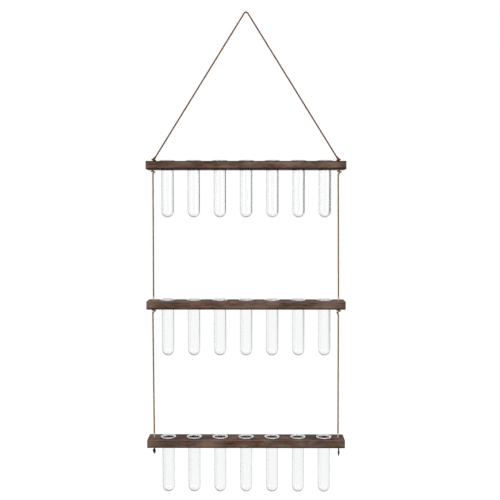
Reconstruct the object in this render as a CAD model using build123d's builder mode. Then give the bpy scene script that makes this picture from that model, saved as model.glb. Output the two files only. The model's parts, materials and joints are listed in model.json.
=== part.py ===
from build123d import *
import math
import os

# Hanging propagation rack: three wooden bars, one below the other on a jute cord, with seven glass tubes in each bar.
# The origin is the axis of the peg that the cord goes over. +Z is up, +X is the viewer's right and -Y is the front.
# Lengths are in millimetres and angles in degrees.

# Wooden bars
TIERS = ("top", "middle", "bottom")
TUBES_PER_BAR = 7
TUBE_PITCH = 53.0
END_MARGIN = 41.0  # from the axis of the last tube to the bar's end
BAR_DEPTH = 44.0
BAR_HEIGHT = 16.5
BAR_EDGE_RADIUS = 0.8
HOLE_CHAMFER = 0.5
HANG_DROP = 294.0  # from the peg's axis down to the top bar's upper face
TIER_PITCH = 281.0

# Glass tubes
TUBE_DIAMETER = 25.0
TUBE_WALL = 1.3
TUBE_LENGTH = 115.0
TUBE_CLEARANCE = 0.5  # round the tube in its hole
RIM_OVERHANG = 3.3
RIM_HEIGHT = 2.5
RIM_LAND = 0.5  # flat ring on the rim, between its round edge and the flared mouth

# Cord and knots
CORD_DIAMETER = 3.0
CORD_INSET = 12.0  # from the cord's axis to the bar's end
CORD_CLEARANCE = 0.9  # round the cord in its hole
PEG_DIAMETER = 5.0
KNOT_OPENING = 2.1  # width left inside each turn of a knot
KNOT_SLANT = 30.0
TAIL_LENGTHS = {"left": 10.0, "right": 15.0}  # below the last knots
PIVOT_GAP = 0.3  # between a knot or a cord and what it turns against

# Worked out from the sizes above
BAR_LENGTH = (TUBES_PER_BAR - 1) * TUBE_PITCH + 2 * END_MARGIN
TUBE_RADIUS = TUBE_DIAMETER / 2
BORE_RADIUS = TUBE_RADIUS - TUBE_WALL
CORD_RADIUS = CORD_DIAMETER / 2
CORD_X = BAR_LENGTH / 2 - CORD_INSET
TURN_RADIUS = CORD_RADIUS + KNOT_OPENING / 2
CORE_RADIUS = CORD_DIAMETER
BAR_TOPS = {tier: -HANG_DROP - TIER_PITCH * number for number, tier in enumerate(TIERS)}
SIDES = {"left": -CORD_X, "right": CORD_X}
KNOT_DROP = CORE_RADIUS + PIVOT_GAP  # from the face that a knot bears on to the knot's centre


def save(piece, name):
    """Labels a finished piece and writes it to its own file."""
    piece.part.label = name
    export_step(piece.part, f"parts/{name}.step")


def upright(x, z):
    """Vertical drawing plane that faces the front, with its origin on the rack's middle plane."""
    return Plane(origin=(x, 0, z), x_dir=(1, 0, 0), z_dir=(0, -1, 0))


def wooden_bar(top):
    """Bar with eased edges, a row of holes for the tubes and a hole for the cord near each end."""
    with BuildPart() as bar:
        with BuildSketch(Plane.XY.offset(top - BAR_HEIGHT)):
            Rectangle(BAR_LENGTH, BAR_DEPTH)
        extrude(amount=BAR_HEIGHT)
        fillet(bar.edges(), radius=BAR_EDGE_RADIUS)
        with Locations((0, 0, top)):
            with GridLocations(TUBE_PITCH, 0, TUBES_PER_BAR, 1):
                Hole(TUBE_RADIUS + TUBE_CLEARANCE)
            with GridLocations(2 * CORD_X, 0, 2, 1):
                Hole(CORD_RADIUS + CORD_CLEARANCE)
        chamfer(bar.edges().filter_by(GeomType.CIRCLE).filter_by(Plane.XY), length=HOLE_CHAMFER)
    return bar


def glass_tube(x, seat):
    """Round-bottomed tube that hangs by its rolled rim from the bar's upper face, at height seat."""
    rim_radius = TUBE_RADIUS + RIM_OVERHANG
    rim_round = RIM_HEIGHT / 2
    flare = rim_radius - rim_round - RIM_LAND - BORE_RADIUS
    bottom = RIM_HEIGHT - TUBE_LENGTH
    bottom_centre = bottom + TUBE_RADIUS
    with BuildPart() as tube:
        with BuildSketch(upright(x, seat)):
            with BuildLine():
                RadiusArc((0, bottom), (TUBE_RADIUS, bottom_centre), -TUBE_RADIUS)
                Polyline((TUBE_RADIUS, bottom_centre), (TUBE_RADIUS, 0), (rim_radius - rim_round, 0))
                ThreePointArc(
                    (rim_radius - rim_round, 0),
                    (rim_radius, rim_round),
                    (rim_radius - rim_round, RIM_HEIGHT),
                )
                Line((rim_radius - rim_round, RIM_HEIGHT), (BORE_RADIUS + flare, RIM_HEIGHT))
                RadiusArc((BORE_RADIUS + flare, RIM_HEIGHT), (BORE_RADIUS, RIM_HEIGHT - flare), -flare)
                Line((BORE_RADIUS, RIM_HEIGHT - flare), (BORE_RADIUS, bottom_centre))
                RadiusArc((BORE_RADIUS, bottom_centre), (0, bottom + TUBE_WALL), BORE_RADIUS)
                Line((0, bottom + TUBE_WALL), (0, bottom))
            make_face()
        revolve(axis=Axis((x, 0, seat), (0, 0, 1)))
    return tube


def knot(x, z):
    """Tight knot: two turns of the cord that cross in front and behind, pulled down on a round core."""
    with BuildPart(Plane((x, 0, z))) as tied:
        Sphere(CORE_RADIUS)
        for slant in (KNOT_SLANT, -KNOT_SLANT):
            with Locations(Location((0, 0, 0), (0, slant, 0))):
                Torus(TURN_RADIUS, CORD_RADIUS)
    return tied


def hanger_cord():
    """Cord from hole to hole of the top bar: up through each hole, bent over its knot and straight to the peg."""
    bar_bottom = BAR_TOPS["top"] - BAR_HEIGHT
    bend_z = BAR_TOPS["top"] + KNOT_DROP
    peg_arc = (PEG_DIAMETER + CORD_DIAMETER) / 2
    to_peg = math.hypot(CORD_X, bend_z)
    lean = math.atan(CORD_X / -bend_z) - math.asin(peg_arc / to_peg)
    peak_z = bend_z + CORD_X / math.tan(lean)
    knot_arc = CORE_RADIUS + CORD_RADIUS
    route = [
        (-CORD_X, 0, bar_bottom),
        (-CORD_X, 0, bend_z),
        (0, 0, peak_z),
        (CORD_X, 0, bend_z),
        (CORD_X, 0, bar_bottom),
    ]
    with BuildPart() as cord:
        with BuildLine() as path:
            FilletPolyline(*route, radius=[knot_arc, peg_arc, knot_arc])
        with BuildSketch(Plane.XY.offset(bar_bottom)):
            with Locations(route[0][:2]):
                Circle(CORD_RADIUS)
        sweep(path=path.wire())
    length = path.wire().length
    swept = cord.part.volume / (math.pi * CORD_RADIUS**2 * length)
    print(f"hanger cord: {length:.1f} long, arcs {knot_arc:.2f}, {peg_arc:.2f}, {knot_arc:.2f}")
    print(f"hanger cord: volume over section times length {swept:.5f}")
    return cord


def hanging_cord(x, knot_z, bar_top):
    """Straight cord from under a knot to the bar that it carries, round at the foot where it leans over the hole."""
    head = knot_z - KNOT_DROP
    foot = bar_top + PIVOT_GAP + CORD_RADIUS
    with BuildPart() as cord:
        with BuildSketch(upright(x, foot)):
            with BuildLine():
                Polyline((0, -CORD_RADIUS), (0, head - foot), (CORD_RADIUS, head - foot), (CORD_RADIUS, 0))
                RadiusArc((CORD_RADIUS, 0), (0, -CORD_RADIUS), CORD_RADIUS)
            make_face()
        revolve(axis=Axis((x, 0, foot), (0, 0, 1)))
    return cord


def cord_through_bar(x, bar_top, reach):
    """Length of cord that fills the bar's hole and reaches down from the bar's upper face."""
    with BuildPart() as cord:
        with BuildSketch(Plane.XY.offset(bar_top)):
            with Locations((x, 0)):
                Circle(CORD_RADIUS)
        extrude(amount=-reach)
    return cord


os.makedirs("parts", exist_ok=True)

for tier, top in BAR_TOPS.items():
    save(wooden_bar(top), f"bar_{tier}")
    for number in range(TUBES_PER_BAR):
        tube_x = (number - (TUBES_PER_BAR - 1) / 2) * TUBE_PITCH
        save(glass_tube(tube_x, top), f"tube_{tier}_{number + 1}")

hanger = hanger_cord()
save(hanger, "hanger_cord")

for side, cord_x in SIDES.items():
    with BuildPart() as hanger_knot:
        add(knot(cord_x, BAR_TOPS["top"] + KNOT_DROP))
        add(hanger, mode=Mode.SUBTRACT)
    save(hanger_knot, f"hanger_knot_{side}")

    for run, above, below in (("upper", "top", "middle"), ("lower", "middle", "bottom")):
        knot_z = BAR_TOPS[above] - BAR_HEIGHT - KNOT_DROP
        save(knot(cord_x, knot_z), f"{run}_knot_{side}")
        save(hanging_cord(cord_x, knot_z, BAR_TOPS[below]), f"{run}_cord_{side}")

    save(cord_through_bar(cord_x, BAR_TOPS["middle"], BAR_HEIGHT), f"middle_cord_{side}")

    end_drop = BAR_HEIGHT + KNOT_DROP
    with BuildPart() as end_knot:
        add(knot(cord_x, BAR_TOPS["bottom"] - end_drop))
        add(cord_through_bar(cord_x, BAR_TOPS["bottom"], end_drop + CORE_RADIUS + TAIL_LENGTHS[side]))
    save(end_knot, f"end_knot_{side}")
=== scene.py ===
import json
import math

import bpy
import numpy as np
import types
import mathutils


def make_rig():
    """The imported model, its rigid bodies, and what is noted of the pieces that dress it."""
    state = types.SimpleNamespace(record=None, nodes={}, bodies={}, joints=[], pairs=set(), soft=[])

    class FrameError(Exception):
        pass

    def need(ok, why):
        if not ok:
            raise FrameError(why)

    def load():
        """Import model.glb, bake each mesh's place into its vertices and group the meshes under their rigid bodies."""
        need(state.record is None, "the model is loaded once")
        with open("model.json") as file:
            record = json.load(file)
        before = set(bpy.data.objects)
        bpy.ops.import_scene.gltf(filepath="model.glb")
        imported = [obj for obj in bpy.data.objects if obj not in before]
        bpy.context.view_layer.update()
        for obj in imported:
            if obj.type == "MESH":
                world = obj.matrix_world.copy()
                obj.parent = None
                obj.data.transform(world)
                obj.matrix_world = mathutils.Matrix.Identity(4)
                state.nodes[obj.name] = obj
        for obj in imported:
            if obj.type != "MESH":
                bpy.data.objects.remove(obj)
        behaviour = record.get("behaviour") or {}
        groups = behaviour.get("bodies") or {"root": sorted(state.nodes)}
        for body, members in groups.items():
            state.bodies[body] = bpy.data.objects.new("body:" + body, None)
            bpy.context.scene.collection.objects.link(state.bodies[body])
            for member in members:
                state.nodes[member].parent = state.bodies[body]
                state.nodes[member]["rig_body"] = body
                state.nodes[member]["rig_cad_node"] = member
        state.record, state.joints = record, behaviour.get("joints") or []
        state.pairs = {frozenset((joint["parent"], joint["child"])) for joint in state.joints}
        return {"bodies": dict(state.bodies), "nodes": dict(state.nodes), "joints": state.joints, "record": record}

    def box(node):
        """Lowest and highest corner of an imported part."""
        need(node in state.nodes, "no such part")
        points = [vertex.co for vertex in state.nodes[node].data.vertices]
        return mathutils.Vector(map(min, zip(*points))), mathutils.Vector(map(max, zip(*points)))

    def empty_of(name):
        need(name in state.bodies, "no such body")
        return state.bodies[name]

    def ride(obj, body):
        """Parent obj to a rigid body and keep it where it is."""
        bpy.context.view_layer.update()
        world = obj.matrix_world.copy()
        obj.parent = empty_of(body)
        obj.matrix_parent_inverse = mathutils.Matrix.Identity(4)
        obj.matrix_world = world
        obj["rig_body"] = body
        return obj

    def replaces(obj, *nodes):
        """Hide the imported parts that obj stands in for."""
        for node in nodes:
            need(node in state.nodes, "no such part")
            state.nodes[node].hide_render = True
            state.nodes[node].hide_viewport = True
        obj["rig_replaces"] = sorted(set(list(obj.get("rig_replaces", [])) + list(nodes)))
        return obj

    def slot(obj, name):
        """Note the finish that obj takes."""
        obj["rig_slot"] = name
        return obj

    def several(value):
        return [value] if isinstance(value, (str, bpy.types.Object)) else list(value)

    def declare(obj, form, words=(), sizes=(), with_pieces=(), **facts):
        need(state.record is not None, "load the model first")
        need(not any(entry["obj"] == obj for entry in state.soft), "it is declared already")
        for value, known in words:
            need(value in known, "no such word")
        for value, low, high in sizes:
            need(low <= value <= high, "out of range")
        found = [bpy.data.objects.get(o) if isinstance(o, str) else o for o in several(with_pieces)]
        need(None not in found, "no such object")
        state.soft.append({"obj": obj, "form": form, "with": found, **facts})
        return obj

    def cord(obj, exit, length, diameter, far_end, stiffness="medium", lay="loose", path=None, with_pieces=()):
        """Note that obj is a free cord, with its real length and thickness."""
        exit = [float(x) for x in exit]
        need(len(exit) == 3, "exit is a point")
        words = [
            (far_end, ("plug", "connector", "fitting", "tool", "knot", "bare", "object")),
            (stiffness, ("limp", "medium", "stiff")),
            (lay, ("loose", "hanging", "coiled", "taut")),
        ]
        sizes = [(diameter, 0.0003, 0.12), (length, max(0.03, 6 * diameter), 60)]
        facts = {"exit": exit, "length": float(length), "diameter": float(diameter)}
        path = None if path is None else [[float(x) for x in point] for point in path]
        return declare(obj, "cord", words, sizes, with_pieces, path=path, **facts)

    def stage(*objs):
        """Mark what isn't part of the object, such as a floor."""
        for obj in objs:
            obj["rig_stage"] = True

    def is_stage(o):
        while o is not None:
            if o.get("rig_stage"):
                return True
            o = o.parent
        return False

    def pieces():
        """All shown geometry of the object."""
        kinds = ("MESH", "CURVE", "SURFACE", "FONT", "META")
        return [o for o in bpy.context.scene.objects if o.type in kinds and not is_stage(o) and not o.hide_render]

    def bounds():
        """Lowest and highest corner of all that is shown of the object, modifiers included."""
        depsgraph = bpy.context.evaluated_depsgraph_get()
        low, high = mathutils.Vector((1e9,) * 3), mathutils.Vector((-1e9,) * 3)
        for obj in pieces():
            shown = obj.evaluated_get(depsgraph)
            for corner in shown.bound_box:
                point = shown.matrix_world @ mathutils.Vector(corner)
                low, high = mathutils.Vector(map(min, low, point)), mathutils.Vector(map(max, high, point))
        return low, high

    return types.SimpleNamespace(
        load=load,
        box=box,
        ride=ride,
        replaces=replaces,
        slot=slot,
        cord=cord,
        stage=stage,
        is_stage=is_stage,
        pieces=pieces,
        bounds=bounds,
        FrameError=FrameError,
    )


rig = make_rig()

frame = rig.load()
cad_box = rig.bounds()

# Hanging propagation rack: dark wooden bars on jute twine, with a row of glass tubes in each bar.
# Lengths are in metres, in the frame's axes: +Z up, +X the viewer's right, -Y the front.

# Tiers
TIERS = ("top", "middle", "bottom")
SIDES = ("left", "right")
TUBES_PER_BAR = 7
TUBE_PITCH = 0.053
BARS = {tier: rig.box(f"bar_{tier}") for tier in TIERS}

# Colours of the wood
RED_STAIN = (0.225, 0.100, 0.076, 1)
BROWN_STAIN = (0.152, 0.115, 0.088, 1)
DARK_STAIN = (0.042, 0.023, 0.016, 1)
# near black, for the painted shade along the bars' edges and round the rims
SHADE_BLACK = (0.012, 0.006, 0.004, 1)
PORE_BROWN = (0.030, 0.018, 0.014, 1)
PALE_WOOD = (0.220, 0.145, 0.110, 1)
# paler wood laid along the upper front edges of the middle and bottom bars
PALE_EDGE_WOOD = (0.240, 0.165, 0.125, 1)

# Growth rings
RINGS_PER_METRE = 420.0
HEART_BACK = 0.030  # the heart of the tree is this far behind the middle of the top bar
HEART_STEP = 0.012  # and this much less far behind in each bar below it
HEART_DROP = 0.034  # below the middle of each bar
RING_WANDER = 0.016  # how far the rings stray from true circles
RING_WAVES = (5.0, 22.0, 22.0)
LATE_WOOD = (0.35, 0.95)  # part of a ring over which it turns dark
BAR_STEP = 0.37  # along the grain from one bar's piece of wood to the next

# Patterns in the wood: waves per metre along the bar and across it, detail, roughness and start along the bar
WOOD_PATTERNS = {
    "fibres": (9.0, 420.0, 5.0, 0.6, 0.0),
    "pore_noise": (55.0, 1500.0, 2.0, 0.5, 0.0),
    "blotches": (16.0, 40.0, 4.0, 0.6, 0.0),
    "tint": (24.0, 70.0, 3.0, 0.5, 3.0),
    "flecks": (60.0, 320.0, 3.0, 0.6, 7.0),
    "fine_grain": (22.0, 2300.0, 3.0, 0.6, 1.0),
}
PORES = (0.56, 0.70)  # range of the pore noise over which a pore opens
# Layers over the red stain: pattern, two values of it, the layer's share at each of them, and its colour
STAIN_LAYERS = (
    ("tint", 0.35, 0.65, 0.0, 1.0, BROWN_STAIN),
    ("flecks", 0.38, 0.58, 0.70, 0.0, DARK_STAIN),
    ("fine_grain", 0.40, 0.62, 0.55, 0.0, DARK_STAIN),
    ("late_wood", 0.0, 1.0, 0.0, 0.45, DARK_STAIN),
    ("fibres", 0.30, 0.75, 0.68, 0.0, DARK_STAIN),
    ("blotches", 0.40, 0.68, 0.0, 0.62, PALE_WOOD),
    ("pores", 0.0, 1.0, 0.0, 0.70, PORE_BROWN),
)
WOOD_RELIEF = {"fibres": 0.6, "pores": -0.5, "late_wood": -0.15}  # height of each pattern in the surface
WOOD_FIBRES = (0.2, 0.8)  # the pattern's values between the fibres and on them
WOOD_ROUGHNESS = (0.80, 0.58)  # at these two values

# Edges of the bars: painted shade along them, and a paler band on some upper front edges. Each pair is where one of
# them starts to fade and where it ends, measured from the edge
EDGE_SHADE = 0.88
LOWER_EDGE = (0.0006, 0.0044)
OTHER_EDGES = (0.0004, 0.0028)
PALE_EDGE_BAND = (0.0002, 0.0022)
PALE_EDGE_SHARE = 0.4  # share of pale wood along the upper front edge, where the painted edge shade is left off
PALE_UPPER_EDGES = {"top": 0.0, "middle": 1.0, "bottom": 1.0}  # share of each bar's upper front edge left without painted shade and given the paler band
RIM_RING_SHADE = 0.75  # how dark the painted shade is in the ring round each tube's rim
RIM_RING_SHADE_WIDTH = 0.0026
RIM_RING_SHADE_DEPTH = 0.001  # below the bar's upper face

# Glass tubes
TUBE_RADIUS = 0.0125
TUBE_WALL = 0.0013
TUBE_LENGTH = 0.115
RIM_OVERHANG = 0.0033
RIM_HEIGHT = 0.0025
RIM_LAND = 0.0005
RIM_START = -60  # degrees, where the rim's round edge leaves its flat underside
SEAT_GAP = 0.00015  # air under the rim, which only touches the wood here and there
NECK_DROP = 0.0003  # the wall starts to turn out into the rim this far below the bar's face
NECK_EASE = 0.0002
TUBE_SEGMENTS = 72
BOTTOM_STEPS = 16
WALL_STEPS = 12
RIM_STEPS = 10

# Glass
GLASS_IOR = 1.49
CLEAR_GLASS = (0.965, 0.974, 0.971, 1)
# dark grey painted into the glass colour as shade at its outline
PAINTED_GLASS_OUTLINE = (0.06, 0.066, 0.066, 1)
OUTLINE_RANGE = (0.52, 0.88)  # how far the surface has turned away where its painted dark outline starts and ends
BOTTOM_SHADE = 0.19  # how much sooner the painted shade of the outline comes in on the round bottom
HAZE_WAVES = (90.0, 90.0, 30.0)
GLASS_HAZE = (0.50, 0.75)
GLASS_ROUGHNESS = 0.02  # where the haze is thickest
DRAW_WAVES = (260.0, 260.0, 9.0)
RIM_CLARITY = 0.55  # share of the light that passes through the rim; the rest is a painted white highlight
RIM_WAVES = (150.0, 150.0, 400.0)
RIM_PATCH_RANGE = (0.35, 0.65)
# grey and white of the rim's painted highlight
RIM_GREY = (0.86, 0.875, 0.875, 1)
RIM_WHITE = (0.97, 0.975, 0.97, 1)
RIM_ROUGHNESS = (0.04, 0.16)

# Twine
TWINE_DIAMETER = 0.003
TWINE_PLIES = 3
TWINE_LAY = 0.0155
PLY_OFFSET = 0.26  # this, the radius and the wander of a ply are shares of the twine's diameter
PLY_RADIUS = 0.265
PLY_WANDER = 0.03
PLY_WANDER_SPACING = 0.006
SLUB_SWELL = 0.09
SLUB_SPACING = 0.009
YARN_LAY = 0.0075
YARN_RIDGES = ((5, 0.045, 0.0), (8, 0.025, 1.3))  # number round a ply, height and starting angle
GROOVE_SHADE_START = 0.86  # share of the twine's radius under which painted shade darkens the hollows between the plies
GROOVE_SHADE_DEPTH = 0.40
STRAND_SIDES = 12
RING_STEP = 0.0007
PLY_SPACING = 10.0  # between the plies along the texture's lengthwise axis, so that no two look the same

# Loose fibres. Droop, drift and curl are shares of a fibre's reach.
FIBRES_PER_METRE = 700
FIBRE_REACH = (0.0007, 0.0019)
FIBRE_RADIUS = 0.00004
FIBRE_ROOT = 0.33  # share of the twine's diameter, from its axis
FIBRE_SPREAD = 0.5  # how far a fibre's direction strays from straight out
FIBRE_DROOP = 0.35
FIBRE_DRIFT = (0.32, 1.28)
FIBRE_CURL = 0.3
FIBRE_TAPER = 0.8
FIBRE_POINTS = 6
FIBRE_SIDES = 3

# Jute: colours of the painted shade in the grooves and of dark patches, of the strands, and of the palest fibres
BROWN_JUTE = ((0.026, 0.008, 0.002, 1), (0.115, 0.038, 0.007, 1), (0.215, 0.084, 0.018, 1))
TAN_JUTE = ((0.055, 0.027, 0.006, 1), (0.200, 0.116, 0.028, 1), (0.35, 0.235, 0.075, 1))
# the knots' twine: the same jute painted lighter, as painted light against the shade that falls in the knots
LIGHTENED_KNOT_JUTE = ((0.120, 0.066, 0.022, 1), (0.380, 0.250, 0.100, 1), (0.56, 0.42, 0.20, 1))
# upright cords are paler over their last few millimetres, where they go into the bar below
PALE_FOOT_JUTE = (0.66, 0.52, 0.42, 1)
PALE_FOOT_FROM = 0.2490  # distance below its knot at which an upright cord turns pale, just above the next bar
PALE_FOOT_FADE = 0.002
PALE_FOOT_SHARE = 0.85
PALE_FIBRES = (0.32, 0.68)
DARK_PATCHES = (0.35, 0.70)
PATCH_SHARE = 0.5
FIBRE_TURNS = 110.0  # per metre round a strand
FIBRE_WAVES = 60.0

# Knots
KNOT_SQUEEZE = 0.84  # a knot's turns lie closer together than the free twine is thick
KNOT_TWINE = 0.92  # twine pulled into a knot is thinner than free twine
KNOT_HEIGHT = 0.52  # the knots are pulled flat against the wood
KNOT_CUT = 1.25  # in twine diameters, half the height of what is kept of the tightened knot
KNOT_TURNS = {"left": 0.5, "right": 0.2}  # turn of each knot about its cord, in radians
HANGER_KNOT_TURNS = {"left": 0.3, "right": 2.7}
KNOT_SMOOTHNESS = 8  # points of the finished line for each point of the tightened knot

# Tightening of the knot, lengths in diameters of its twine
LOOSE_SPAN = 2.1  # stretch of the loose knot's curve either way from its middle
LOOSE_POINTS = 200
LOOSE_STRETCH = (1.1, 1.1, 1.6)
LOOSE_REACH = 7.3  # from the loose knot's middle to each of its pulled ends
TIGHT_POINTS = 90
TIGHT_ROUNDS = 700
TIGHT_PULL = 0.225
PRESSES_PER_ROUND = 3
PRESS_SHARE = 0.5
PRESS_APART = 1.7  # twine nearer along the line than this does not press on itself

# Route of the twine
CORD_X = 0.188
PEG_DIAMETER = 0.005
HANGER_LENGTH = 0.74
KNOT_DROP = 0.0033  # from the bar's face to the knot's centre
SWING_ROOM = 0.0005  # lets a hanging knot turn without touching the bar above it
KNOT_TUCK = 0.0003  # the twine of a hanging knot starts this far up inside the bar
FOOT_DEPTH = 0.001  # an upright cord ends this far down inside the bar that it carries
HOLE_INSET = 0.0015  # the twine in a hole starts and ends this far inside the bar
HOLE_CONTROL = 0.005  # and its line has its inner control points this far inside it
HANGER_BEND = 6 * TWINE_DIAMETER  # length of each leg of the hanger's bends
CORD_BEND = 3 * TWINE_DIAMETER  # length of an upright cord's bends
HANGER_KNOT_SHIFT = 0.0017  # the slanting cord pulls its knots this far towards the middle
# How far each cord hangs to one side of its holes: where it leaves its knot, just below that, and at its foot
CORD_SHIFTS = {
    "upper_left": (0.0, 0.0, 0.0),
    "upper_right": (-0.0018, -0.0020, -0.0004),
    "lower_left": (-0.0015, -0.0016, 0.0),
    "lower_right": (-0.0035, -0.0004, 0.0),
}
# Tails below the end knots: two points from the knot's centre, and the frayed end's length and half width
TAILS = {
    "left": ((-0.0011, 0.0, -0.0060), (0.0006, 0.0, -0.0154), 0.0128, 0.0031),
    "right": ((0.0017, 0.0, -0.0080), (0.0012, 0.0, -0.0192), 0.0140, 0.0019),
}
FRAY_THINNING = 0.85  # share by which a ply thins out as it opens into yarns
FRAYED_YARNS = 110
YARN_RADIUS = 0.00018
YARN_TAPER = 0.5
YARN_SIDES = 5
YARN_LENGTHS = (0.75, 1.0)  # shares of the frayed end
YARN_TWIST = (0.4, 1.6)
YARN_SPREAD = (0.05, 1.0)  # share of the frayed end's section that is nearer its axis than a yarn
YARN_BELLY = 0.8  # below 1 the yarns are furthest apart before the middle of the frayed end
YARN_WANDER = 0.25
YARN_WANDER_SPACING = 0.002
YARN_SHADE = 0.6

# Seeds of the random slubs and fibres. The knots and the upright cords count up from theirs.
HANGER_SEED = 11
HANGER_KNOT_SEED = 21
UPPER_SEED = 30
LOWER_SEED = 34
CORD_SEED_STEP = 40
MIDDLE_SEED = 71
END_SEED = 81

# Camera at the photograph's viewpoint, angles in degrees
CAMERA_PLACE = (0.01717, -1.6085, -0.40182)
CAMERA_PITCH = 2.516
CAMERA_TURN = 0.3275
CAMERA_LENS = 57.2
CAMERA_SENSOR = 36.0

# Lamps: place, size and power
LAMPS = {
    "key": ((-1.6, -2.2, 1.3), 1.6, 45),
    "fill": ((2.0, -1.6, 0.2), 1.6, 18),
}
LAMP_TARGET = (0, 0, -0.5)
AMBIENT = 0.72

# Dark flags on both sides of the set, outside the picture, angles in radians from straight ahead
FLAG_GREY = (0.10, 0.10, 0.10, 1)
FLAG_AZIMUTH = math.radians(26)
FLAG_HALF_WIDTH = math.radians(17)
FLAG_CORE = 0.7  # share of its half width that is fully dark
FLAG_FADE = (-0.24, -0.02)  # the flag fades in upwards between these slopes
SIDE_FLAG_AZIMUTH = math.radians(-95)
SIDE_FLAG_HALF_WIDTH = math.radians(45)
SIDE_FLAG_CORE = 0.6

# Floor
FLOOR_RADIUS = 1.4
FLOOR_DROP = 0.25
FLOOR_SIDES = 96
FLOOR_GREY = (0.82, 0.82, 0.82, 1)
FLOOR_WHITE = 1.12
FLOOR_THROUGH_GLASS = 1.04
FLOOR_GLOW = 0.8  # share of the floor's own light in what is seen of it

# Values that several materials use
WHITE = (1, 1, 1, 1)
SAME_PLACE = (0.0, 0.0, 0.0)
SAME_SIZE = (1.0, 1.0, 1.0)
MATT_SPECULAR = 0.06
MATT_ROUGHNESS = 0.9


# Shader node helpers


def new_material(name):
    """A material with its node tree and its Principled shader."""
    material = bpy.data.materials.new(name)
    material.use_nodes = True
    return material, material.node_tree, material.node_tree.nodes["Principled BSDF"]


def put(tree, kind, **values):
    """Adds a node. A value sets the node's own property of that name, or else the input of that name."""
    node = tree.nodes.new("ShaderNode" + kind)
    for name, value in values.items():
        if hasattr(node, name):
            setattr(node, name, value)
        else:
            node.inputs[name].default_value = value
    return node


def feed(tree, value, socket):
    """Gives a socket a number, a colour or another node's output."""
    if isinstance(value, bpy.types.NodeSocket):
        tree.links.new(value, socket)
    else:
        socket.default_value = value


def math_node(tree, operation, first, second=0.0):
    """Output of a math node whose inputs are numbers or other nodes' outputs."""
    node = put(tree, "Math", operation=operation)
    feed(tree, first, node.inputs[0])
    feed(tree, second, node.inputs[1])
    return node.outputs[0]


def times(tree, first, second):
    return math_node(tree, "MULTIPLY", first, second)


def rest_of(tree, share):
    """Output of what is left of 1 beside the share."""
    return math_node(tree, "SUBTRACT", 1.0, share)


def flat_distance(tree, first, second):
    """Output of the length of a flat vector from its two components."""
    squares = math_node(tree, "ADD", times(tree, first, first), times(tree, second, second))
    return math_node(tree, "SQRT", squares)


def smooth_range(tree, value, low, high, to_low=0.0, to_high=1.0):
    """Output that goes smoothly from to_low to to_high as value goes from low to high."""
    node = put(tree, "MapRange", interpolation_type="SMOOTHSTEP")
    tree.links.new(value, node.inputs["Value"])
    for name, number in (("From Min", low), ("From Max", high), ("To Min", to_low), ("To Max", to_high)):
        node.inputs[name].default_value = number
    return node.outputs["Result"]


def mix_colour(tree, factor, first, second):
    """Output of a colour mix whose inputs are colours or other nodes' outputs."""
    node = put(tree, "Mix", data_type="RGBA")
    for socket, value in ((node.inputs[0], factor), (node.inputs[6], first), (node.inputs[7], second)):
        feed(tree, value, socket)
    return node.outputs[2]


def separate(tree, vector):
    """The X, Y and Z outputs of a vector."""
    node = put(tree, "SeparateXYZ")
    tree.links.new(vector, node.inputs[0])
    return node.outputs["X"], node.outputs["Y"], node.outputs["Z"]


def stretched(tree, vector, place, scale):
    """Output of the vector moved by place and then scaled."""
    moved = put(tree, "VectorMath", operation="ADD")
    moved.inputs[1].default_value = place
    sized = put(tree, "VectorMath", operation="MULTIPLY")
    sized.inputs[1].default_value = scale
    tree.links.new(vector, moved.inputs[0])
    tree.links.new(moved.outputs[0], sized.inputs[0])
    return sized.outputs[0]


def noise(tree, vector, detail, roughness, scale=1.0):
    """Output of a noise texture over the vector."""
    node = put(tree, "TexNoise", Scale=scale, Detail=detail, Roughness=roughness)
    tree.links.new(vector, node.inputs["Vector"])
    return node.outputs["Fac"]


def add_bump(tree, shader, height, strength, distance):
    """Gives the shader a relief of this height pattern."""
    bump = put(tree, "Bump", Strength=strength, Distance=distance)
    tree.links.new(height, bump.inputs["Height"])
    tree.links.new(bump.outputs["Normal"], shader.inputs["Normal"])


# Wood


def along_grain(tree, place, along, across, detail, roughness, start):
    """Noise with so many waves per metre along the bar and across it."""
    vector = stretched(tree, place, (start, 0.0, 0.0), (along, across, across))
    return noise(tree, vector, detail, roughness)


def growth_rings(tree, place, number):
    """Output that rises from 0 to 1 over each growth ring, from its early wood to its late wood."""
    wander = put(tree, "TexNoise", Scale=1.0, Detail=2.0, Roughness=0.5)
    tree.links.new(stretched(tree, place, SAME_PLACE, RING_WAVES), wander.inputs["Vector"])
    shift = put(tree, "VectorMath", operation="MULTIPLY_ADD")
    tree.links.new(wander.outputs["Color"], shift.inputs[0])
    shift.inputs[1].default_value = (0.0, RING_WANDER, RING_WANDER)
    tree.links.new(place, shift.inputs[2])
    _, y, z = separate(tree, shift.outputs[0])
    across = math_node(tree, "SUBTRACT", y, HEART_BACK - HEART_STEP * number)
    up = math_node(tree, "ADD", z, HEART_DROP)
    phase = math_node(tree, "FRACT", times(tree, flat_distance(tree, across, up), RINGS_PER_METRE))
    return smooth_range(tree, phase, *LATE_WOOD)


def stained_colour(tree, patterns):
    """Colour of the stained wood, built up layer over layer."""
    colour = RED_STAIN
    for name, low, high, at_low, at_high, layer in STAIN_LAYERS:
        share = smooth_range(tree, patterns[name], low, high, at_low, at_high)
        colour = mix_colour(tree, share, colour, layer)
    return colour


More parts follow.
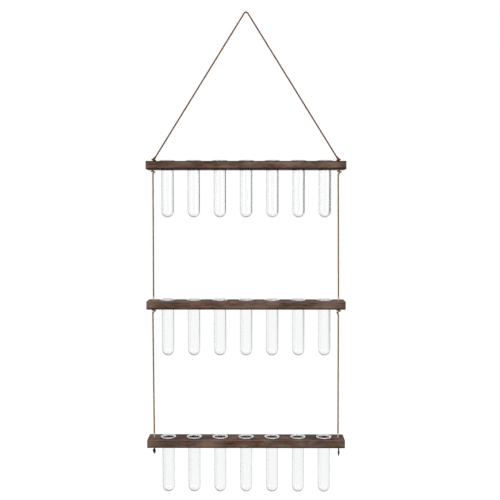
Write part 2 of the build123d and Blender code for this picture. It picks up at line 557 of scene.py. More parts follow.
def edge_shade_and_pale_band(tree, colour, y, z, half_depth, half_height, upper_edge_share):
    """The colour with near-black painted shade along the long edges, widest below, left off the upper front edge,
    where a paler band is laid instead.
    """
    to_face = math_node(tree, "SUBTRACT", half_depth, math_node(tree, "ABSOLUTE", y))
    to_top = math_node(tree, "SUBTRACT", half_height, math_node(tree, "ABSOLUTE", z))
    from_edge = math_node(tree, "MAXIMUM", to_face, to_top)
    lower = math_node(tree, "LESS_THAN", z, 0.0)
    front = math_node(tree, "LESS_THAN", y, 0.0)
    upper_front = times(tree, times(tree, front, rest_of(tree, lower)), upper_edge_share)
    wide = times(tree, lower, smooth_range(tree, from_edge, *LOWER_EDGE, EDGE_SHADE, 0.0))
    narrow = smooth_range(tree, from_edge, *OTHER_EDGES, EDGE_SHADE, 0.0)
    edge = times(tree, math_node(tree, "MAXIMUM", wide, narrow), rest_of(tree, upper_front))
    colour = mix_colour(tree, edge, colour, SHADE_BLACK)
    pale_band = times(tree, upper_front, smooth_range(tree, from_edge, *PALE_EDGE_BAND, PALE_EDGE_SHARE, 0.0))
    return mix_colour(tree, pale_band, colour, PALE_EDGE_WOOD)


def painted_rim_shade(tree, colour, x, y, z, half_height):
    """The colour with a dark ring of painted shade round each rim, on the bar's upper face."""
    outermost = (TUBES_PER_BAR - 1) / 2
    nearest = math_node(tree, "ROUND", math_node(tree, "DIVIDE", x, TUBE_PITCH))
    nearest = math_node(tree, "MINIMUM", math_node(tree, "MAXIMUM", nearest, -outermost), outermost)
    from_tube = math_node(tree, "SUBTRACT", x, times(tree, nearest, TUBE_PITCH))
    from_axis = flat_distance(tree, from_tube, y)
    rim_radius = TUBE_RADIUS + RIM_OVERHANG
    rim_ring_shade = smooth_range(tree, from_axis, rim_radius, rim_radius + RIM_RING_SHADE_WIDTH, RIM_RING_SHADE, 0.0)
    on_top = math_node(tree, "GREATER_THAN", z, half_height - RIM_RING_SHADE_DEPTH)
    return mix_colour(tree, times(tree, rim_ring_shade, on_top), colour, SHADE_BLACK)


def wood_material(tier, number):
    """Dark stained softwood with growth rings that run from end to end of the bar, pores and blotches."""
    low, high = BARS[tier]
    half_depth = (high.y - low.y) / 2
    half_height = (high.z - low.z) / 2
    middle_z = (high.z + low.z) / 2
    material, tree, shader = new_material(f"dark_wood_{tier}")
    place = put(tree, "TexCoord").outputs["Object"]
    in_tree = stretched(tree, place, (BAR_STEP * number, 0.0, -middle_z), SAME_SIZE)
    patterns = {name: along_grain(tree, in_tree, *pattern) for name, pattern in WOOD_PATTERNS.items()}
    patterns["pores"] = smooth_range(tree, patterns["pore_noise"], *PORES)
    patterns["late_wood"] = growth_rings(tree, in_tree, number)

    x, y, z = separate(tree, stretched(tree, place, (0.0, 0.0, -middle_z), SAME_SIZE))
    colour = stained_colour(tree, patterns)
    # painted shade along the bar's edges, widest below, with a paler band where it is left off the upper front edge
    colour = edge_shade_and_pale_band(tree, colour, y, z, half_depth, half_height, PALE_UPPER_EDGES[tier])
    # painted shade in a dark ring round each rim
    colour = painted_rim_shade(tree, colour, x, y, z, half_height)
    tree.links.new(colour, shader.inputs["Base Color"])

    roughness = smooth_range(tree, patterns["fibres"], *WOOD_FIBRES, *WOOD_ROUGHNESS)
    tree.links.new(roughness, shader.inputs["Roughness"])
    shader.inputs["Specular IOR Level"].default_value = MATT_SPECULAR
    height = 0.0
    for name, part in WOOD_RELIEF.items():
        height = math_node(tree, "ADD", height, times(tree, patterns[name], part))
    add_bump(tree, shader, height, strength=0.35, distance=0.0004)
    return material


# Glass materials


def glass_material():
    """Clear tube glass with the faint lengthwise draw lines and the slight haze of handled glass, and painted shade
    that darkens it towards its outline.
    """
    material, tree, shader = new_material("clear_glass")
    place = put(tree, "TexCoord").outputs["Object"]
    _, _, z = separate(tree, place)
    lowest = RIM_HEIGHT - TUBE_LENGTH
    round_bottom = smooth_range(tree, z, lowest, lowest + TUBE_RADIUS, BOTTOM_SHADE, 0.0)
    facing = put(tree, "LayerWeight", Blend=0.5).outputs["Facing"]
    # painted shade: the glass darkens towards its outline, sooner on the round bottom
    outline = smooth_range(tree, math_node(tree, "ADD", facing, round_bottom), *OUTLINE_RANGE)
    tree.links.new(mix_colour(tree, outline, CLEAR_GLASS, PAINTED_GLASS_OUTLINE), shader.inputs["Base Color"])
    shader.inputs["Transmission Weight"].default_value = 1.0
    shader.inputs["IOR"].default_value = GLASS_IOR
    mottle = noise(tree, stretched(tree, place, SAME_PLACE, HAZE_WAVES), detail=4.0, roughness=0.6)
    tree.links.new(smooth_range(tree, mottle, *GLASS_HAZE, 0.0, GLASS_ROUGHNESS), shader.inputs["Roughness"])
    lines = noise(tree, stretched(tree, place, SAME_PLACE, DRAW_WAVES), detail=2.0, roughness=0.5)
    add_bump(tree, shader, lines, strength=0.02, distance=0.0003)
    return material


def rim_material():
    """Fire-polished rim with a painted highlight: it is partly a milky white, a little whiter in some places than in
    others.
    """
    material, tree, shader = new_material("rim_glass_painted_white")
    shader.inputs["Transmission Weight"].default_value = RIM_CLARITY
    shader.inputs["IOR"].default_value = GLASS_IOR
    place = put(tree, "TexCoord").outputs["Object"]
    mottle = noise(tree, stretched(tree, place, SAME_PLACE, RIM_WAVES), detail=3.0, roughness=0.5)
    whiter = smooth_range(tree, mottle, *RIM_PATCH_RANGE)
    # painted highlight: the rim is mixed towards white in patches
    tree.links.new(mix_colour(tree, whiter, RIM_GREY, RIM_WHITE), shader.inputs["Base Color"])
    tree.links.new(smooth_range(tree, mottle, *RIM_PATCH_RANGE, *RIM_ROUGHNESS), shader.inputs["Roughness"])
    return material


# Jute


def jute_material(name, colours, pale_from=None):
    """Twisted jute: fine fibres that wind round each strand, with painted shade in the grooves between strands. Beyond
    the distance pale_from along the strand, where a cord goes into its hole, it is paler."""
    deep, middle, pale = colours
    material, tree, shader = new_material(name)
    u, v, _ = separate(tree, put(tree, "TexCoord").outputs["UV"])
    angle = times(tree, math_node(tree, "ADD", times(tree, v, FIBRE_TURNS), u), 2 * math.pi)
    round_strand = put(tree, "CombineXYZ")
    tree.links.new(math_node(tree, "COSINE", angle), round_strand.inputs["X"])
    tree.links.new(math_node(tree, "SINE", angle), round_strand.inputs["Y"])
    tree.links.new(times(tree, v, FIBRE_WAVES), round_strand.inputs["Z"])
    fibres = noise(tree, round_strand.outputs[0], detail=4.0, roughness=0.65, scale=5.0)
    patches = noise(tree, round_strand.outputs[0], detail=2.0, roughness=0.5, scale=0.6)

    colour = mix_colour(tree, smooth_range(tree, fibres, *PALE_FIBRES), middle, pale)
    colour = mix_colour(tree, smooth_range(tree, patches, *DARK_PATCHES, 0.0, PATCH_SHARE), colour, deep)
    groove = put(tree, "Attribute", attribute_name="groove")
    # painted shade in the grooves between plies, and the random tone of frayed yarns
    colour = mix_colour(tree, groove.outputs["Fac"], colour, deep)
    if pale_from:
        along = math_node(tree, "MODULO", v, PLY_SPACING)
        foot = smooth_range(tree, along, pale_from, pale_from + PALE_FOOT_FADE, 0.0, PALE_FOOT_SHARE)
        colour = mix_colour(tree, foot, colour, PALE_FOOT_JUTE)
    tree.links.new(colour, shader.inputs["Base Color"])
    shader.inputs["Roughness"].default_value = MATT_ROUGHNESS
    shader.inputs["Specular IOR Level"].default_value = MATT_SPECULAR
    add_bump(tree, shader, fibres, strength=0.6, distance=0.0002)
    return material


# Lines


def smooth_line(points, resolution=24):
    """Points along the NURBS curve that has these control points."""
    curve = bpy.data.curves.new("route", "CURVE")
    curve.dimensions = "3D"
    spline = curve.splines.new("NURBS")
    spline.points.add(len(points) - 1)
    for place, point in zip(spline.points, points):
        place.co = (*point, 1.0)
    spline.order_u = 3
    spline.use_endpoint_u = True
    spline.resolution_u = resolution
    carrier = bpy.data.objects.new("route", curve)
    mesh = bpy.data.meshes.new_from_object(carrier)
    line = np.array([vertex.co for vertex in mesh.vertices])
    bpy.data.objects.remove(carrier)
    bpy.data.curves.remove(curve)
    bpy.data.meshes.remove(mesh)
    return line


def distance_along(line):
    """Distance from the line's start to each of its points."""
    steps = np.linalg.norm(np.diff(line, axis=0), axis=1)
    return np.concatenate([[0.0], np.cumsum(steps)])


def evenly(line, count):
    """The same line with its points evenly apart."""
    along = distance_along(line)
    wanted = np.linspace(0.0, along[-1], count)
    return np.stack([np.interp(wanted, along, line[:, axis]) for axis in range(3)], axis=1)


def unit(vectors):
    return vectors / np.maximum(np.linalg.norm(vectors, axis=-1, keepdims=True), 1e-12)


def carried_frames(line, start=(0.0, 1.0, 0.0)):
    """Direction of the line at each point, and two crosswise directions that turn as little as they can."""
    ahead = unit(np.gradient(line, axis=0))
    side = np.empty_like(line)
    last = np.array(start)
    for number, direction in enumerate(ahead):
        last = unit(last - last.dot(direction) * direction)
        side[number] = last
    return ahead, side, np.cross(ahead, side)


def circle_angles(sides):
    """Angles of the corners of a regular polygon."""
    return np.arange(sides) * 2 * math.pi / sides


def rings_round(line, radius, around, side, over):
    """Rings of points round the line at these angles, from its two crosswise directions."""
    across = np.cos(around)[None, :, None] * side[:, None]
    upwards = np.sin(around)[None, :, None] * over[:, None]
    return line[:, None] + radius * (across + upwards)


def smooth_wander(rng, count, step, spacing):
    """Slow random values from -1 to 1 along a line, with a new value about every spacing metres."""
    knots = max(4, int(count * step / spacing) + 4)
    values = rng.uniform(-1.0, 1.0, knots)
    return np.interp(np.linspace(0, knots - 1, count), np.arange(knots), values)


# Twine


class Strands:
    """Collects the vertices, faces, UVs and painted groove shade of one twine mesh; on frayed yarns that share holds
    their random darker tone instead.
    """

    def __init__(self):
        self.points, self.grooves, self.faces, self.corners = [], [], [], []

    def add_tube(self, rings, v_start, v_step, grooves):
        """Adds a tube through rings of points, closed at both ends."""
        count, sides, _ = rings.shape
        first = len(self.points)
        self.points.extend(map(tuple, rings.reshape(-1, 3)))
        self.grooves.extend(grooves.reshape(-1))
        for ring in range(count - 1):
            v_low, v_high = v_start + ring * v_step, v_start + (ring + 1) * v_step
            base = first + ring * sides
            for side in range(sides):
                after = (side + 1) % sides
                self.faces.append((base + side, base + after, base + sides + after, base + sides + side))
                u_low, u_high = side / sides, (side + 1) / sides
                self.corners.extend(((u_low, v_low), (u_high, v_low), (u_high, v_high), (u_low, v_high)))
        for ring, order in ((0, reversed(range(sides))), (count - 1, range(sides))):
            v_end = v_start + ring * v_step
            order = list(order)
            self.faces.append(tuple(first + ring * sides + side for side in order))
            self.corners.extend((side / sides, v_end) for side in order)

    def build(self, name, material):
        """The finished object."""
        mesh = bpy.data.meshes.new(name)
        mesh.from_pydata(self.points, [], self.faces)
        layer = mesh.uv_layers.new(name="UVMap")
        layer.data.foreach_set("uv", np.array(self.corners, dtype=np.float32).ravel())
        depth = mesh.attributes.new("groove", "FLOAT", "POINT")
        depth.data.foreach_set("value", np.array(self.grooves, dtype=np.float32))
        mesh.polygons.foreach_set("use_smooth", [True] * len(mesh.polygons))
        mesh.materials.append(material)
        mesh.update()
        thing = bpy.data.objects.new(name, mesh)
        bpy.context.scene.collection.objects.link(thing)
        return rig.slot(thing, "jute")


def add_twine(strands, line, diameter, rng, fray=0.0):
    """Adds strands twisted round each other along the line, with slubs. They thin out over the last fray
    metres."""
    length = distance_along(line)[-1]
    count = max(8, int(length / RING_STEP))
    line = evenly(line, count)
    along = np.linspace(0.0, length, count)
    _, side, over = carried_frames(line)
    opening = np.clip((along - (length - fray)) / fray, 0.0, 1.0) if fray else np.zeros(count)
    start_angle = rng.uniform(0, 2 * math.pi)
    around = circle_angles(STRAND_SIDES)
    for ply in range(TWINE_PLIES):
        angle = start_angle + 2 * math.pi * (ply / TWINE_PLIES + along / TWINE_LAY)
        outward = np.cos(angle)[:, None] * side + np.sin(angle)[:, None] * over
        wander = smooth_wander(rng, count, RING_STEP, PLY_WANDER_SPACING)
        centre = line + outward * (PLY_OFFSET * diameter * (1 - opening**2))[:, None]
        centre = centre + outward * (PLY_WANDER * diameter * wander)[:, None]
        strand_ahead = unit(np.gradient(centre, axis=0))
        across = unit(outward - (outward * strand_ahead).sum(1, keepdims=True) * strand_ahead)
        beside = np.cross(strand_ahead, across)
        slub = 1.0 + SLUB_SWELL * smooth_wander(rng, count, RING_STEP, SLUB_SPACING)
        yarn = around[None] + 2 * math.pi * along[:, None] / YARN_LAY
        ridge = 1.0 + sum(height * np.cos(number * yarn + start) for number, height, start in YARN_RIDGES)
        thinned = 1 - FRAY_THINNING * opening
        radius = PLY_RADIUS * diameter * slub[:, None] * ridge * thinned[:, None]
        rings = rings_round(centre, radius[..., None], around, across, beside)
        from_axis = np.linalg.norm(rings - line[:, None], axis=2) / (0.5 * diameter)
        # painted shade in the hollows between the plies, darker nearer the twine's axis
        grooves = np.clip((GROOVE_SHADE_START - from_axis) / GROOVE_SHADE_DEPTH, 0.0, 1.0)
        strands.add_tube(rings, PLY_SPACING * ply, length / (count - 1), grooves)
    return line


def add_fibre(strands, start, away, ahead, reach, rng):
    """Adds one loose fibre that leaves the twine, bends along it and tapers off."""
    lift = unit(away + rng.uniform(-FIBRE_SPREAD, FIBRE_SPREAD, 3))
    drift = ahead * rng.choice((-1.0, 1.0)) * rng.uniform(*FIBRE_DRIFT)
    curl = rng.uniform(-FIBRE_CURL, FIBRE_CURL, 3)
    t = np.linspace(0.0, 1.0, FIBRE_POINTS)[:, None]
    line = start + reach * (lift * (t - FIBRE_DROOP * t**2) + drift * t**2 + curl * t**3)
    _, side, over = carried_frames(line, rng.uniform(-1, 1, 3))
    radius = FIBRE_RADIUS * (1.0 - FIBRE_TAPER * t)
    rings = rings_round(line, radius[..., None], circle_angles(FIBRE_SIDES), side, over)
    strands.add_tube(rings, 0.0, reach / (FIBRE_POINTS - 1), np.zeros((FIBRE_POINTS, FIBRE_SIDES)))


def add_fibres(strands, line, diameter, rng):
    """Adds loose fibres all along the line."""
    ahead, side, over = carried_frames(line)
    total = int(distance_along(line)[-1] * FIBRES_PER_METRE)
    for _ in range(total):
        number = rng.integers(2, len(line) - 2)
        angle = rng.uniform(0, 2 * math.pi)
        away = math.cos(angle) * side[number] + math.sin(angle) * over[number]
        start = line[number] + away * FIBRE_ROOT * diameter
        add_fibre(strands, start, away, ahead[number], rng.uniform(*FIBRE_REACH), rng)


def add_frayed_yarns(strands, line, half_width, rng):
    """Adds the separate yarns of a frayed end: they swell apart and draw in again towards its tip."""
    _, side, over = carried_frames(line)
    step = distance_along(line)[-1] / (len(line) - 1)
    around = circle_angles(YARN_SIDES)
    for _ in range(FRAYED_YARNS):
        count = int(len(line) * rng.uniform(*YARN_LENGTHS))
        t = np.linspace(0.0, 1.0, len(line))[:count]
        angle = rng.uniform(0, 2 * math.pi) + rng.uniform(*YARN_TWIST) * t
        away = np.cos(angle)[:, None] * side[:count] + np.sin(angle)[:, None] * over[:count]
        reach = half_width * math.sqrt(rng.uniform(*YARN_SPREAD)) * np.sin(math.pi * t**YARN_BELLY)
        reach = reach + YARN_WANDER * half_width * t * smooth_wander(rng, count, step, YARN_WANDER_SPACING)
        centre = line[:count] + away * reach[:, None]
        _, across, beside = carried_frames(centre)
        radius = (YARN_RADIUS * (1 - YARN_TAPER * t))[:, None, None]
        rings = rings_round(centre, radius, around, across, beside)
        v_start = rng.uniform(0.0, 1.0)
        grooves = np.full((count, YARN_SIDES), rng.uniform(0.0, YARN_SHADE))
        strands.add_tube(rings, v_start, step, grooves)


def pulled_tight(diameter):
    """Centreline of an overhand knot pulled tight: it shortens until its turns press on each other."""
    count = TIGHT_POINTS
    t = np.linspace(-LOOSE_SPAN, LOOSE_SPAN, LOOSE_POINTS)
    line = np.stack([t**3 - 3 * t, t**4 - 4 * t**2 + 2.2, 2 * t - t**5 / 5], axis=1)
    line *= np.array(LOOSE_STRETCH) * diameter
    reach = LOOSE_REACH * diameter
    ends = np.array([[0, 0, reach], [0, 0, -reach]])
    line = evenly(np.concatenate([ends[:1], line, ends[1:]]), count)
    order = np.abs(np.arange(count)[:, None] - np.arange(count)[None])
    for _ in range(TIGHT_ROUNDS):
        line[1:-1] += TIGHT_PULL * (line[:-2] + line[2:] - 2 * line[1:-1])
        line = evenly(line, count)
        for _ in range(PRESSES_PER_ROUND):
            spacing = distance_along(line)[-1] / (count - 1)
            apart = line[:, None] - line[None]
            gap = np.linalg.norm(apart, axis=2)
            pressed = (order * spacing > PRESS_APART * diameter) & (gap < diameter)
            overlap = np.where(pressed, diameter - gap, 0.0)
            push = (unit(apart) * overlap[..., None]).sum(1)
            touching = np.maximum((overlap > 0).sum(1), 1)[:, None]
            line[1:-1] += PRESS_SHARE * (push / touching)[1:-1]
    return line


def knot_piece(name, shape, place, turn, upper_end, lower_points, material, seed, fray=0.0, half_width=0.0):
    """A tied knot at place, turned about the twine and pressed flat. The twine comes to it from upper_end and
    leaves it along lower_points, all given from its centre. Over the last fray metres it opens into yarns."""
    rng = np.random.default_rng(seed)
    tied = shape[np.abs(shape[:, 2]) < KNOT_CUT * TWINE_DIAMETER] * np.array([1.0, 1.0, KNOT_HEIGHT])
    cosine, sine = math.cos(turn), math.sin(turn)
    spin = np.array([[cosine, -sine, 0], [sine, cosine, 0], [0, 0, 1]])
    line = np.concatenate([[upper_end], tied @ spin.T, lower_points]) + np.array(place)
    strands = Strands()
    path = smooth_line(line, KNOT_SMOOTHNESS)
    line = add_twine(strands, path, TWINE_DIAMETER * KNOT_TWINE, rng, fray)
    add_fibres(strands, line, TWINE_DIAMETER, rng)
    if fray:
        add_frayed_yarns(strands, line[-int(fray / RING_STEP):], half_width, rng)
    return strands.build(name, material)


def twine_piece(name, route, material, seed):
    """A length of twine along the route, and the line that it follows."""
    rng = np.random.default_rng(seed)
    strands = Strands()
    path = smooth_line(route)
    line = add_twine(strands, path, TWINE_DIAMETER, rng)
    add_fibres(strands, line, TWINE_DIAMETER, rng)
    return strands.build(name, material), path


# Glass tubes


def arc(centre_r, centre_z, radius, start, end, steps):
    """Points of an arc in the tube's section, angles in degrees from the outward direction."""
    angles = [math.radians(start + (end - start) * step / steps) for step in range(steps + 1)]
    return [(centre_r + radius * math.cos(a), centre_z + radius * math.sin(a)) for a in angles]


def tube_section():
    """Outline of half the tube's wall, from the bottom's outside over the rim to the bottom's inside.
    The bar's upper face is z = 0."""
    bore = TUBE_RADIUS - TUBE_WALL
    rim_round = RIM_HEIGHT / 2
    rim_centre = TUBE_RADIUS + RIM_OVERHANG - rim_round
    flare = rim_centre - RIM_LAND - bore
    bottom_centre = RIM_HEIGHT - TUBE_LENGTH + TUBE_RADIUS
    straight = [step / WALL_STEPS for step in range(1, WALL_STEPS)]
    section = arc(0, bottom_centre, TUBE_RADIUS, -90, 0, BOTTOM_STEPS)
    section += [(TUBE_RADIUS, bottom_centre * (1 - s)) for s in straight]
    section += [(TUBE_RADIUS, -NECK_DROP), (TUBE_RADIUS + NECK_EASE, SEAT_GAP)]
    section += [(rim_centre - NECK_EASE, SEAT_GAP)]
    section += arc(rim_centre, rim_round, rim_round, RIM_START, 90, RIM_STEPS)
    section += arc(bore + flare, RIM_HEIGHT - flare, flare, 90, 180, RIM_STEPS)
    inner_top = RIM_HEIGHT - flare
    section += [(bore, inner_top + (bottom_centre - inner_top) * s) for s in straight]
    section += arc(0, bottom_centre, bore, 0, -90, BOTTOM_STEPS)
    return section


def tube_mesh(wall, rim):
    """The tube's section turned round its axis."""
    section = tube_section()
    inner = section[1:-1]
    points = [(0, 0, section[0][1])]
    for radius, z in inner:
        for segment in range(TUBE_SEGMENTS):
            angle = 2 * math.pi * segment / TUBE_SEGMENTS
            points.append((radius * math.cos(angle), radius * math.sin(angle), z))
    points.append((0, 0, section[-1][1]))
    last = len(points) - 1
    faces = []
    for segment in range(TUBE_SEGMENTS):
        after = (segment + 1) % TUBE_SEGMENTS
        faces.append((0, 1 + after, 1 + segment))
        for ring in range(len(inner) - 1):
            base = 1 + ring * TUBE_SEGMENTS
            above = base + TUBE_SEGMENTS
            faces.append((base + segment, base + after, above + after, above + segment))
        base = 1 + (len(inner) - 1) * TUBE_SEGMENTS
        faces.append((base + segment, base + after, last))
    mesh = bpy.data.meshes.new("glass_tube")
    mesh.from_pydata(points, [], faces)
    mesh.polygons.foreach_set("use_smooth", [True] * len(mesh.polygons))
    mesh.materials.append(wall)
    mesh.materials.append(rim)
    for polygon in mesh.polygons:
        polygon.material_index = int(polygon.center.z > 0)
    mesh.update()
    return mesh


def hang_tubes(mesh):
    """Puts a tube in each hole of each bar."""
    for tier in TIERS:
        for number in range(1, TUBES_PER_BAR + 1):
            node = f"tube_{tier}_{number}"
            low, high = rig.box(node)
            tube = bpy.data.objects.new(f"glass_{tier}_{number}", mesh)
            tube.location = ((low.x + high.x) / 2, (low.y + high.y) / 2, high.z - RIM_HEIGHT)
            bpy.context.scene.collection.objects.link(tube)
            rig.slot(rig.replaces(tube, node), "clear_glass")
            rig.ride(tube, node)


# Cord and knots


def string_hanger(material, shape):
    """The cord from the top bar over the peg and back, with the knot that it ends in on each side."""
    bar_low, bar_high = BARS["top"]
    bend_z = bar_high.z + KNOT_DROP
    bend_x = CORD_X - HANGER_KNOT_SHIFT
    peg_arc = (PEG_DIAMETER + TWINE_DIAMETER) / 2
    lean = math.atan(bend_x / -bend_z) - math.asin(peg_arc / math.hypot(bend_x, bend_z))
    peak_z = bend_z + bend_x / math.tan(lean)
    near = HANGER_BEND
    half = [
        (CORD_X, 0, bar_low.z),
        (CORD_X, 0, bar_high.z - TWINE_DIAMETER),
        (bend_x, 0, bend_z),
        (bend_x - near * math.sin(lean), 0, bend_z + near * math.cos(lean)),
        (near * math.sin(lean), 0, peak_z - near * math.cos(lean)),
    ]
    route = [(-x, y, z) for x, y, z in half] + [(0, 0, peak_z)] + half[::-1]
    cord, path = twine_piece("hanger_twine", route, material, HANGER_SEED)
    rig.replaces(cord, "hanger_cord")
    knots = []
    for side, outward in zip(SIDES, (-1.0, 1.0)):
        place = (outward * bend_x, 0, bend_z)
        upper_end = (-outward * near / 2 * math.sin(lean), 0, near / 2 * math.cos(lean))
        into_hole = (outward * HANGER_KNOT_SHIFT, 0, -KNOT_DROP - TWINE_DIAMETER)
        seed = HANGER_KNOT_SEED + len(knots)
        turn = HANGER_KNOT_TURNS[side]
        knot = knot_piece(f"hanger_tie_{side}", shape, place, turn, upper_end, [into_hole], material, seed)
        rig.replaces(knot, f"hanger_knot_{side}")
        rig.ride(knot, "top_tier")
        knots.append(knot)
    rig.ride(cord, "top_tier")
    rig.cord(cord, exit=route[0], length=HANGER_LENGTH, diameter=TWINE_DIAMETER, far_end="object",
            stiffness="limp", lay="taut", path=path, with_pieces=knots)


def string_run(run, above, below, material, knot_material, shape, seed, lower_pieces):
    """The knots under one bar and the two cords that carry the bar below it. Each cord goes on in its lower
    piece."""
    knot_z = BARS[above][0].z - KNOT_DROP
    top = BARS[below][1].z
    near = CORD_BEND
    for side, x in zip(SIDES, (-CORD_X, CORD_X)):
        seed += 1
        at_knot, below_knot, at_foot = CORD_SHIFTS[f"{run}_{side}"]
        place = (x, 0, knot_z - SWING_ROOM)
        into_hole = (0, 0, KNOT_DROP + SWING_ROOM + KNOT_TUCK)
        out_of_knot = (at_knot, 0, -2 * TWINE_DIAMETER)
        knot = knot_piece(
            f"{run}_tie_{side}", shape, place, KNOT_TURNS[side], into_hole, [out_of_knot],
            knot_material, seed)
        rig.replaces(knot, f"{run}_knot_{side}")
        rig.ride(knot, f"{run}_knots")
        route = [
            (x + at_knot, 0, knot_z - KNOT_DROP),
            (x + below_knot, 0, knot_z - KNOT_DROP - near / 2),
            (x + below_knot, 0, knot_z - KNOT_DROP - 1.5 * near),
            (x + at_foot, 0, top + near),
            (x + at_foot, 0, top - FOOT_DEPTH),
        ]
        cord, path = twine_piece(f"{run}_twine_{side}", route, material, seed + CORD_SEED_STEP)
        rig.replaces(cord, f"{run}_cord_{side}")
        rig.ride(cord, f"{run}_cord_{side}")
        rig.cord(cord, exit=route[0], length=route[0][2] - route[-1][2], diameter=TWINE_DIAMETER,
                far_end="object", stiffness="limp", lay="taut", path=path,
                with_pieces=[knot, lower_pieces[side]])


def string_through_middle(material):
    """The twine inside the middle bar's two holes, by side."""
    low, high = BARS["middle"]
    heights = (high.z - HOLE_INSET, high.z - HOLE_CONTROL, low.z + HOLE_CONTROL, low.z + HOLE_INSET)
    pieces = {}
    for side, x in zip(SIDES, (-CORD_X, CORD_X)):
        route = [(x, 0, z) for z in heights]
        piece, _ = twine_piece(f"middle_twine_{side}", route, material, MIDDLE_SEED)
        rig.replaces(piece, f"middle_cord_{side}")
        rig.ride(piece, "middle_tier")
        pieces[side] = piece
    return pieces


def tie_ends(material, shape):
    """The end knots under the bottom bar, by side, each with the twine through its hole and a frayed tail."""
    low, high = BARS["bottom"]
    pieces = {}
    for number, (side, x) in enumerate(zip(SIDES, (-CORD_X, CORD_X))):
        place = (x, 0, low.z - KNOT_DROP)
        upper_end = (0, 0, high.z - HOLE_INSET - place[2])
        *tail, fray, half_width = TAILS[side]
        knot = knot_piece(
            f"end_tie_{side}", shape, place, KNOT_TURNS[side], upper_end, tail, material,
            END_SEED + number, fray, half_width)
        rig.replaces(knot, f"end_knot_{side}")
        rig.ride(knot, "bottom_tier")
        pieces[side] = knot
    return pieces


# Stage, light and camera


def seen_directly(tree):
    """Output that is 1 for what the camera sees, straight or through glass or in a reflection."""
    ray = put(tree, "LightPath")
    bent = math_node(tree, "MAXIMUM", ray.outputs["Is Glossy Ray"], ray.outputs["Is Transmission Ray"])
    return math_node(tree, "MAXIMUM", ray.outputs["Is Camera Ray"], bent)


def dark_flag(tree, direction, middle, half_width, core):
    """Output that is 1 where the direction points at a flag, and fades to 0 at its sides."""
    x, y, _ = separate(tree, direction)
    azimuth = math_node(tree, "ARCTAN2", x, y)
    aside = math_node(tree, "ABSOLUTE", math_node(tree, "SUBTRACT", azimuth, middle))
    return smooth_range(tree, aside, core * half_width, half_width, 1.0, 0.0)


def side_flag(tree, direction):
    """Output that is 1 where a reflection that goes in this direction shows the dark flag on the left."""
    flag = dark_flag(tree, direction, SIDE_FLAG_AZIMUTH, SIDE_FLAG_HALF_WIDTH, SIDE_FLAG_CORE)
    ray = put(tree, "LightPath")
    bounced = math_node(tree, "SUBTRACT", ray.outputs["Is Glossy Ray"], ray.outputs["Is Transmission Ray"])
    return times(tree, flag, math_node(tree, "MAXIMUM", bounced, 0.0))


def white_world():
    """Soft light from all round, with white behind the object. A dark flag to the right, outside the picture
    and seen only in glass and gloss, gives the glass a darker edge on that side. One to the left gives it a
    soft grey reflection."""
    world = bpy.data.worlds.new("studio")
    world.use_nodes = True
    bpy.context.scene.world = world
    tree = world.node_tree
    ambient = tree.nodes["Background"]
    ambient.inputs["Color"].default_value = WHITE
    ambient.inputs["Strength"].default_value = AMBIENT
    backdrop = put(tree, "Background", Strength=1.0)
    direction = put(tree, "TexCoord").outputs["Generated"]
    _, _, z = separate(tree, direction)
    flag = dark_flag(tree, direction, FLAG_AZIMUTH, FLAG_HALF_WIDTH, FLAG_CORE)
    flag = times(tree, flag, smooth_range(tree, z, *FLAG_FADE))
    flag = times(tree, flag, rest_of(tree, put(tree, "LightPath").outputs["Is Camera Ray"]))
    flag = math_node(tree, "MAXIMUM", flag, side_flag(tree, direction))
    tree.links.new(mix_colour(tree, flag, WHITE, FLAG_GREY), backdrop.inputs["Color"])
    choice = put(tree, "MixShader")
    tree.links.new(seen_directly(tree), choice.inputs[0])
    tree.links.new(ambient.outputs[0], choice.inputs[1])
    tree.links.new(backdrop.outputs[0], choice.inputs[2])
    tree.links.new(choice.outputs[0], tree.nodes["World Output"].inputs["Surface"])


def floor_material():
    """Pale floor that looks white to the camera and still takes the shadow. Through glass it is less bright,
    so that the round bottoms of the tubes keep their outline."""
    material, tree, shader = new_material("floor")
    shader.inputs["Base Color"].default_value = FLOOR_GREY
    shader.inputs["Roughness"].default_value = MATT_ROUGHNESS
    glow = put(tree, "Emission", Color=WHITE)
    through = put(tree, "LightPath").outputs["Is Transmission Ray"]
    brightness = smooth_range(tree, through, 0.0, 1.0, FLOOR_WHITE, FLOOR_THROUGH_GLASS)
    flag = side_flag(tree, put(tree, "TexCoord").outputs["Object"])
    tree.links.new(times(tree, brightness, rest_of(tree, flag)), glow.inputs["Strength"])
    choice = put(tree, "MixShader")
    tree.links.new(times(tree, seen_directly(tree), FLOOR_GLOW), choice.inputs[0])
    tree.links.new(shader.outputs[0], choice.inputs[1])
    tree.links.new(glow.outputs[0], choice.inputs[2])
    tree.links.new(choice.outputs[0], tree.nodes["Material Output"].inputs["Surface"])
    return material


def pale_floor():
    """A round floor well below the rack."""
    mesh = bpy.data.meshes.new("floor")
    level = cad_box[0].z - FLOOR_DROP
    turns = circle_angles(FLOOR_SIDES)
    edge = [(FLOOR_RADIUS * math.cos(a), FLOOR_RADIUS * math.sin(a), level) for a in turns]
    mesh.from_pydata(edge, [], [tuple(range(FLOOR_SIDES))])
    mesh.materials.append(floor_material())
    floor = bpy.data.objects.new("floor", mesh)
    bpy.context.scene.collection.objects.link(floor)
    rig.stage(floor)


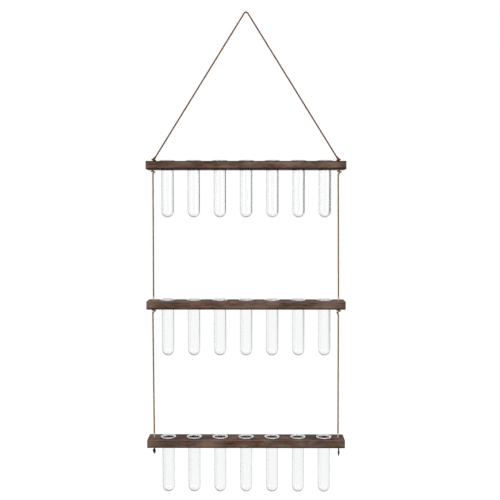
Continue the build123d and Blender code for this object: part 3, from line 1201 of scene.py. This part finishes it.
def soft_light(name, place, size, power):
    """A large square lamp that faces the rack."""
    lamp = bpy.data.lights.new(name, "AREA")
    lamp.size = size
    lamp.energy = power
    thing = bpy.data.objects.new(name, lamp)
    thing.location = place
    aim = np.array(LAMP_TARGET) - np.array(place)
    thing.rotation_euler = (
        math.atan2(math.hypot(aim[0], aim[1]), -aim[2]),
        0.0,
        math.atan2(aim[1], aim[0]) - math.pi / 2,
    )
    bpy.context.scene.collection.objects.link(thing)


def photo_camera():
    """The camera where the photographer stood."""
    lens = bpy.data.cameras.new("photo_camera")
    lens.lens = CAMERA_LENS
    lens.sensor_width = CAMERA_SENSOR
    camera = bpy.data.objects.new("photo_camera", lens)
    camera.location = CAMERA_PLACE
    camera.rotation_euler = (math.radians(90 - CAMERA_PITCH), 0, math.radians(CAMERA_TURN))
    bpy.context.scene.collection.objects.link(camera)
    bpy.context.scene.camera = camera


# Scene

bpy.context.scene.view_settings.view_transform = "Standard"
photo_camera()
white_world()
pale_floor()
for lamp_name, (lamp_place, lamp_size, lamp_power) in LAMPS.items():
    soft_light(lamp_name, lamp_place, lamp_size, lamp_power)

for bar_number, bar_tier in enumerate(TIERS):
    bar = frame["nodes"][f"bar_{bar_tier}"]
    bar.data.materials.clear()
    bar.data.materials.append(wood_material(bar_tier, bar_number))

hang_tubes(tube_mesh(glass_material(), rim_material()))

brown_jute = jute_material("jute_brown", BROWN_JUTE)
tan_jute = jute_material("jute_tan", TAN_JUTE, PALE_FOOT_FROM)
# painted light: the knots under the bars take a lighter copy of the jute
lightened_knot_jute = jute_material("jute_knot_painted_light", LIGHTENED_KNOT_JUTE)
knot_shape = pulled_tight(TWINE_DIAMETER * KNOT_SQUEEZE)
string_hanger(brown_jute, knot_shape)
through_middle = string_through_middle(tan_jute)
string_run("upper", "top", "middle", tan_jute, lightened_knot_jute, knot_shape, UPPER_SEED, through_middle)
end_ties = tie_ends(brown_jute, knot_shape)
string_run("lower", "middle", "bottom", tan_jute, lightened_knot_jute, knot_shape, LOWER_SEED, end_ties)

sizes = {"cad": [list(corner) for corner in cad_box], "visual": [list(corner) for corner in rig.bounds()]}
with open("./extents.json", "w") as record:
    json.dump(sizes, record)
